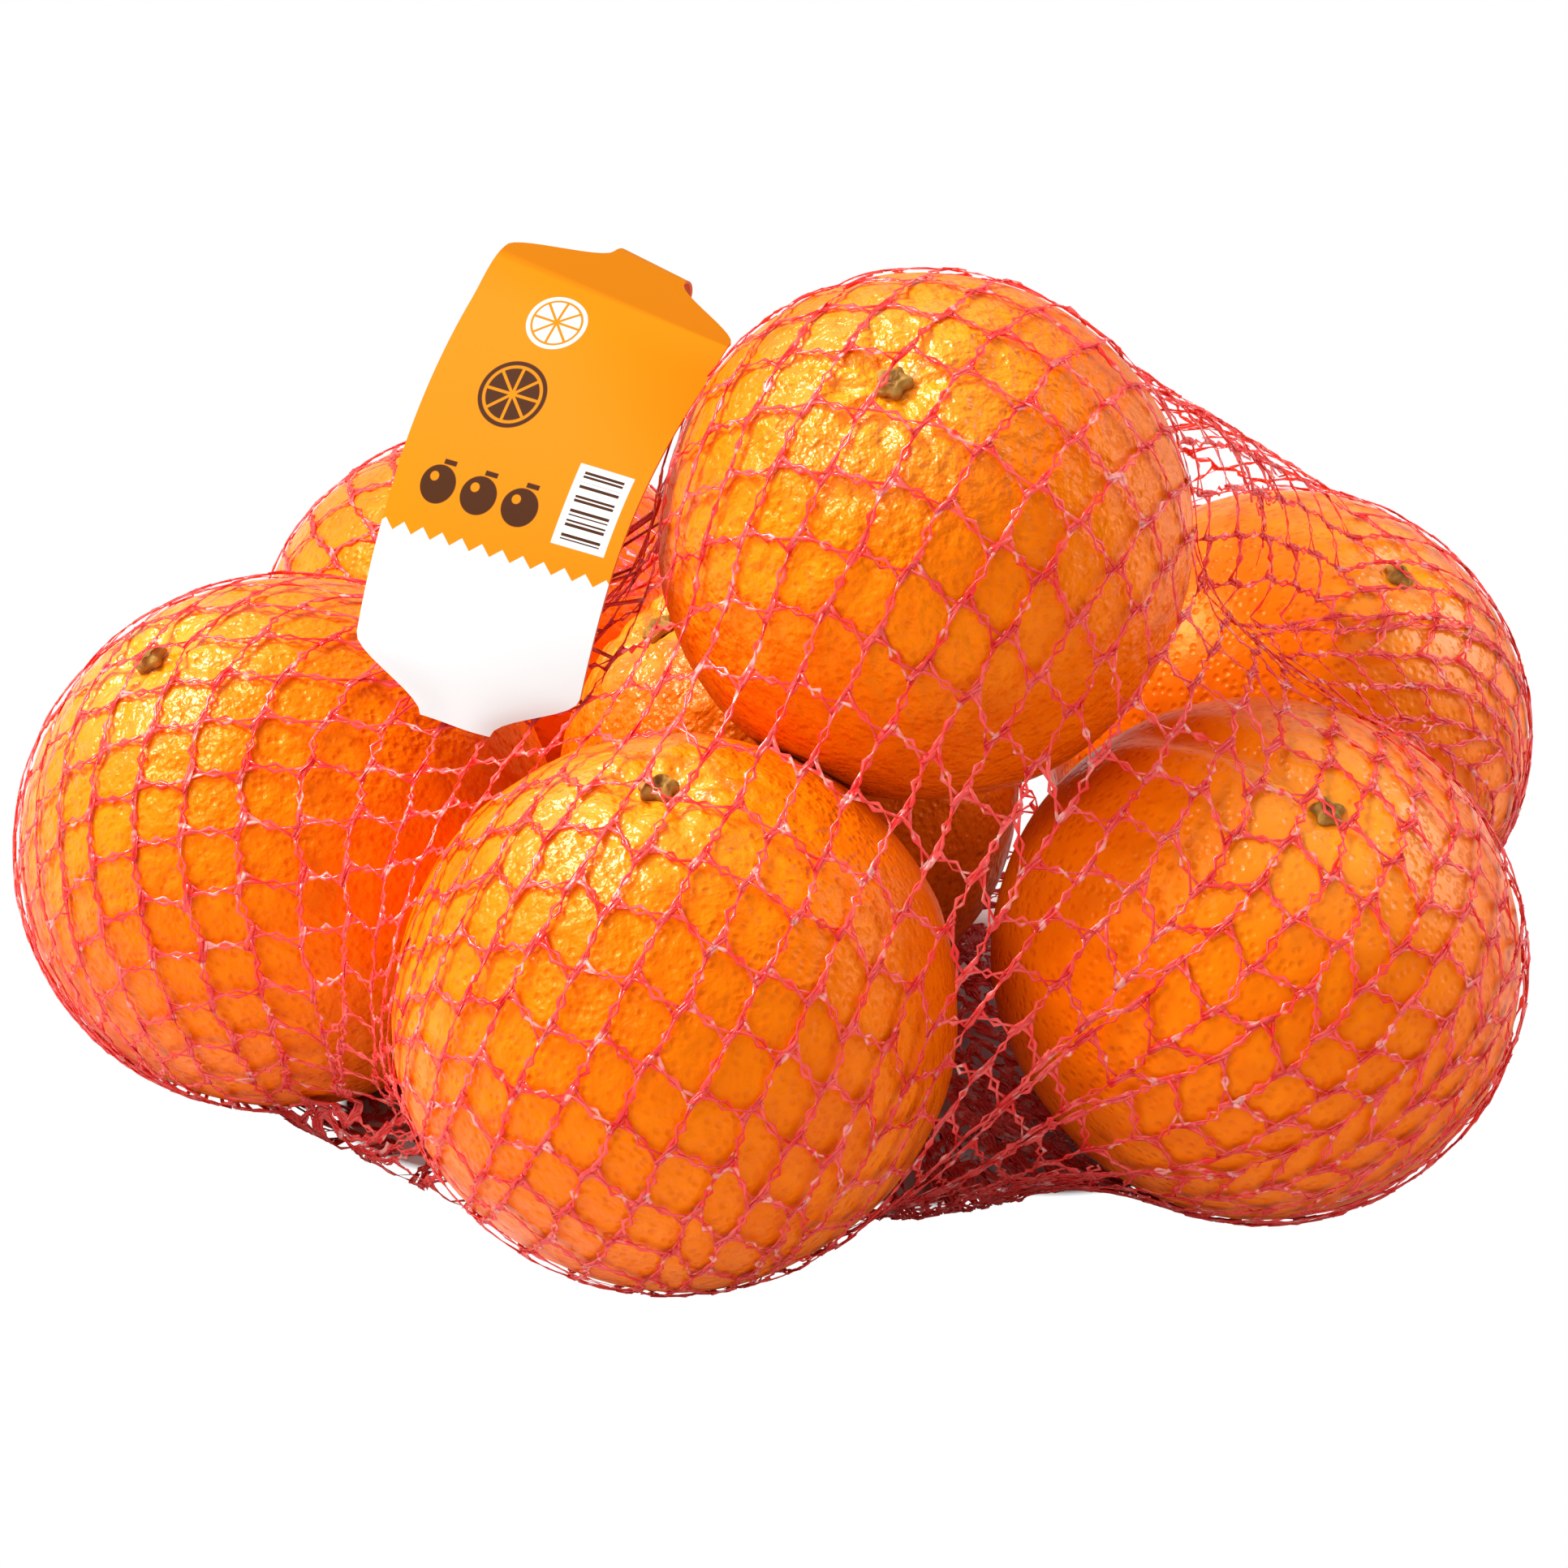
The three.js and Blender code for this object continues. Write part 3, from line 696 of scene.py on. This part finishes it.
shares = np.linspace(-0.5, 0.5, FILM_ACROSS + 1)
film_points, film_along, film_across = [], [], []
for behind, up, along, angle in stations:
    twist = math.radians(LABEL_TWIST) * float(smoothstep(TWIST_START, LEAF_LENGTH, along))
    forward = Vector((0, -math.sin(math.radians(angle)), math.cos(math.radians(angle))))
    sideways = Matrix.Rotation(-twist, 3, forward) @ Vector((1, 0, 0))
    out = sideways.cross(forward).normalized()
    width = film_width(along)
    on_leaf = float(1 - smoothstep(LEAF_LENGTH - 8, LEAF_LENGTH, along))
    for share in shares:
        cup = -0.9 * (2 * share) ** 2 * on_leaf * (width / LEAF_WIDTH)
        wave = 0.35 * math.sin(along / 9 + share * 5) * on_leaf
        point = Vector((0, behind, up)) + sideways * width * share + out * (cup + wave)
        film_points.append((point, out))
        film_along.append(along)
        film_across.append(width * share)

turned = Matrix.Rotation(math.radians(LABEL_TURN), 3, "Z")
turned = turned @ Matrix.Rotation(math.radians(LABEL_LEAN), 3, "X")
turned = turned @ Matrix.Rotation(math.radians(LABEL_ROLL), 3, "Y")
foot, half_film = Vector(LABEL_FOOT), FILM_THICKNESS / 2
front = [(turned @ (point + out * half_film) + foot) * MM for point, out in film_points]
rear = [(turned @ (point - out * half_film) + foot) * MM for point, out in film_points]
row, count = FILM_ACROSS + 1, len(film_points)
faces = []
for i in range(len(stations) - 1):
    for j in range(FILM_ACROSS):
        a, b = i * row + j, (i + 1) * row + j
        faces += [(a, a + 1, b + 1, b), (count + a, count + b, count + b + 1, count + a + 1)]
    for a, b in ((i * row, (i + 1) * row), ((i + 1) * row + FILM_ACROSS, i * row + FILM_ACROSS)):
        faces.append((a, b, count + b, count + a))
for j in range(FILM_ACROSS):
    a = (len(stations) - 1) * row + j
    faces += [(j + 1, j, count + j, count + j + 1), (a, a + 1, count + a + 1, count + a)]
mesh = bpy.data.meshes.new("label_strip")
mesh.from_pydata(front + rear, [], faces)
label = bpy.data.objects.new("label_strip", mesh)
bpy.context.collection.objects.link(label)
set_attribute(mesh, "film_along", film_along * 2)
set_attribute(mesh, "film_across", film_across * 2)
set_attribute(mesh, "printed", [1.0] * count + [0.0] * count)
bpy.ops.object.select_all(action="DESELECT")
label.select_set(True)
bpy.context.view_layer.objects.active = label
bpy.ops.object.shade_smooth_by_angle(angle=math.radians(40))

film, tree, shader = new_material("printed film")
along = add(tree, "ShaderNodeAttribute", attribute_name="film_along").outputs["Fac"]
across = add(tree, "ShaderNodeAttribute", attribute_name="film_across").outputs["Fac"]
printed = add(tree, "ShaderNodeAttribute", attribute_name="printed").outputs["Fac"]
tooth = math_node(tree, "PINGPONG", across, 1.8)
edge = math_node(tree, "MULTIPLY_ADD", tooth, 0.9, 26.6)
above = remap(tree, math_node(tree, "SUBTRACT", along, edge), -0.08, 0.08)
# The film's white and orange are painted greyer and darker than the print itself: painted shade that tones
# down the strong key light on the leaf.
colour = mix(tree, above, srgb(190, 194, 196), srgb(190, 112, 2))


def disc(tree, across, along, at, radius):
    """1 inside a circle on the film and 0 outside it, with the place measured from its middle."""
    x, y = (math_node(tree, "SUBTRACT", value, place) for value, place in ((across, at[0]), (along, at[1])))
    distance = math_node(tree, "SQRT", math_node(
        tree, "ADD", math_node(tree, "MULTIPLY", x, x), math_node(tree, "MULTIPLY", y, y)))
    return remap(tree, distance, radius + 0.08, radius - 0.08), x, y, distance


def fruit_slice(tree, across, along, at, radius):
    """A round citrus slice: its rim and eight segments."""
    rim, x, y, distance = disc(tree, across, along, at, radius)
    inner = disc(tree, across, along, at, radius * 0.87)[0]
    flesh = disc(tree, across, along, at, radius * 0.78)[0]
    spoke = math_node(tree, "PINGPONG", math_node(tree, "ARCTAN2", y, x), math.pi / 8)
    gap = remap(tree, math_node(tree, "MULTIPLY", spoke, distance), 0.18, 0.3)
    ring_only = math_node(tree, "SUBTRACT", rim, inner, clamp=True)
    return math_node(tree, "MAXIMUM", math_node(tree, "MULTIPLY", flesh, gap), ring_only)


def panel_mask(tree, across, along, at, half_across, half_along):
    """1 inside an upright box on the film and 0 outside it."""
    sides = []
    for value, place, half in ((across, at[0], half_across), (along, at[1], half_along)):
        off = math_node(tree, "ABSOLUTE", math_node(tree, "SUBTRACT", value, place))
        sides.append(remap(tree, off, half + 0.08, half - 0.08))
    return math_node(tree, "MULTIPLY", *sides)


# The print's white is painted grey in the same way, as painted shade.
DIMMED_PRINT_WHITE, PRINT_BROWN = srgb(200, 202, 204), srgb(62, 30, 8)
colour = mix(tree, fruit_slice(tree, across, along, (-5.5, 65.5), 4.8), colour, DIMMED_PRINT_WHITE)
colour = mix(tree, fruit_slice(tree, across, along, (-6.5, 52.0), 5.6), colour, PRINT_BROWN)
for middle in (-12.5, -5.2, 2.1):
    body = disc(tree, across, along, (middle, 35.2), 3.1)[0]
    shine = disc(tree, across, along, (middle - 1.0, 36.3), 0.75)[0]
    leaf = panel_mask(tree, across, along, (middle + 0.9, 38.9), 1.1, 0.42)
    fruit = math_node(tree, "MAXIMUM", math_node(tree, "SUBTRACT", body, shine, clamp=True), leaf)
    colour = mix(tree, fruit, colour, PRINT_BROWN)
BAR_PANEL = (13.6, 38.0)
colour = mix(tree, panel_mask(tree, across, along, BAR_PANEL, 4.6, 6.6), colour, DIMMED_PRINT_WHITE)
fine = math_node(tree, "SINE", math_node(tree, "MULTIPLY", along, 8.0))
coarse = math_node(tree, "SINE", math_node(tree, "MULTIPLY", along, 3.1))
bars = remap(tree, math_node(tree, "ADD", fine, coarse), 0.15, 0.35)
bars = math_node(tree, "MULTIPLY", bars, panel_mask(tree, across, along, BAR_PANEL, 3.4, 5.6))
colour = mix(tree, bars, colour, PRINT_BROWN)
# Painted shade: from the crease on, the folded top and the part that runs down behind are darkened, as if
# turned from the light.
shade_past_crease = remap(tree, along, 72.6, 73.8, 0.0, 0.4)
colour = mix(tree, shade_past_crease, colour, srgb(120, 60, 2))
colour = mix(tree, printed, srgb(214, 128, 96), colour)
tree.links.new(colour, shader.inputs["Base Color"])
shader.inputs["Roughness"].default_value = 0.55
shader.inputs["Specular IOR Level"].default_value = 0.05

label.data.materials.append(film)
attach(label, "root")
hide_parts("label")

# The clips: three soft aluminium bands, one crimped round each gather of the net.
# Each is a rounded ring a little wider than it is thick.

CLIP_RADIUS, CLIP_HALF_THICK, CLIP_HALF_WIDE = 4.2, 0.85, 2.5
metal, tree, shader = new_material("clip metal")
place = add(tree, "ShaderNodeTexCoord").outputs["Object"]
scuff = add(tree, "ShaderNodeTexNoise", {"Vector": place, "Scale": 500.0, "Detail": 4.0}).outputs["Fac"]
tree.links.new(mix(tree, scuff, srgb(176, 178, 180), srgb(226, 228, 230)), shader.inputs["Base Color"])
tree.links.new(remap(tree, scuff, 0.3, 0.7, 0.22, 0.42), shader.inputs["Roughness"])
shader.inputs["Metallic"].default_value = 1.0
for name, facts in RINGS.items():
    bpy.ops.mesh.primitive_torus_add(
        major_radius=CLIP_RADIUS * MM, minor_radius=CLIP_HALF_THICK * MM,
        major_segments=48, minor_segments=16, location=facts["ring"] * MM,
        rotation=Vector((0, 0, 1)).rotation_difference(Vector(facts["out"])).to_euler(),
    )
    obj = bpy.context.object
    obj.name = f"clip_{name}_band"
    obj.scale = (1, 1, CLIP_HALF_WIDE / CLIP_HALF_THICK)
    bpy.ops.object.transform_apply(location=True, rotation=True, scale=True)
    bpy.ops.object.shade_smooth()
    obj.data.materials.append(metal)
    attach(obj, "root")
    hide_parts(f"clip_{name}")

# The studio: a white sweep that the camera sees as pure white, apart from the shade between the fruit
# that shows through the net. A soft key light comes from the upper left a little behind, a weaker one
# from the left in front, and a low one from the right, in an even pale surround.

SURROUND = 0.66
SHADED_FLOOR = ((40, -22, 31.8), (40, 20, 35), (18, -47, 11), (-52, -24, 23))  # across, back and reach
white, tree, shader = new_material("white sweep")
shader.inputs["Base Color"].default_value = (0.62, 0.62, 0.62, 1)
shader.inputs["Roughness"].default_value = 0.9
shader.inputs["Specular IOR Level"].default_value = 0.0
place = add(tree, "ShaderNodeTexCoord").outputs["Object"]
shaded = 0.0
for x, y, reach in SHADED_FLOOR:
    apart = add(tree, "ShaderNodeVectorMath", {0: place, 1: (x * MM, y * MM, 0)}, operation="DISTANCE")
    inside = remap(tree, apart.outputs["Value"], (reach + 1) * MM, (reach - 1) * MM)
    shaded = math_node(tree, "MAXIMUM", inside, shaded)
glow = add(tree, "ShaderNodeEmission", {"Color": (1, 1, 1, 1), "Strength": 1.0})
ray = add(tree, "ShaderNodeLightPath")
bare = math_node(tree, "SUBTRACT", ray.outputs["Is Camera Ray"], shaded, clamp=True)
seen = add(tree, "ShaderNodeMixShader", {0: bare, 1: shader.outputs[0], 2: glow.outputs[0]})
tree.links.new(seen.outputs[0], tree.nodes["Material Output"].inputs["Surface"])
bpy.ops.mesh.primitive_plane_add(size=12)
floor = bpy.context.object
floor.name = "floor"
floor.data.materials.append(white)
white.cycles.emission_sampling = "NONE"

bpy.context.scene.view_settings.view_transform = "Standard"
world = bpy.data.worlds.new("pale surround")
bpy.context.scene.world = world
world.use_nodes = True
world.cycles.sampling_method = "NONE"
tree = world.node_tree
ray = add(tree, "ShaderNodeLightPath")
strength = remap(tree, ray.outputs["Is Camera Ray"], 0.0, 1.0, SURROUND, 1.0)
tree.links.new(strength, tree.nodes["Background"].inputs["Strength"])
tree.nodes["Background"].inputs["Color"].default_value = (1, 1, 1, 1)


def soft_light(name, place, aim, size, power, colour=(1, 1, 1)):
    direction = Vector(aim) - Vector(place)
    rotation = direction.to_track_quat("-Z", "Y").to_euler()
    bpy.ops.object.light_add(type="AREA", location=place, rotation=rotation)
    light = bpy.context.object
    light.name = name
    light.data.size = size
    light.data.energy = power
    light.data.color = colour


soft_light("key", (-0.71, 0.14, 1.01), (0, 0, 0.05), 0.36, 26, (1.0, 0.985, 0.95))
soft_light("fill", (-0.85, -0.65, 1.0), (0, 0, 0.04), 0.5, 8)
soft_light("rim", (1.05, 0.25, 0.45), (0.05, 0, 0.04), 0.7, 6)
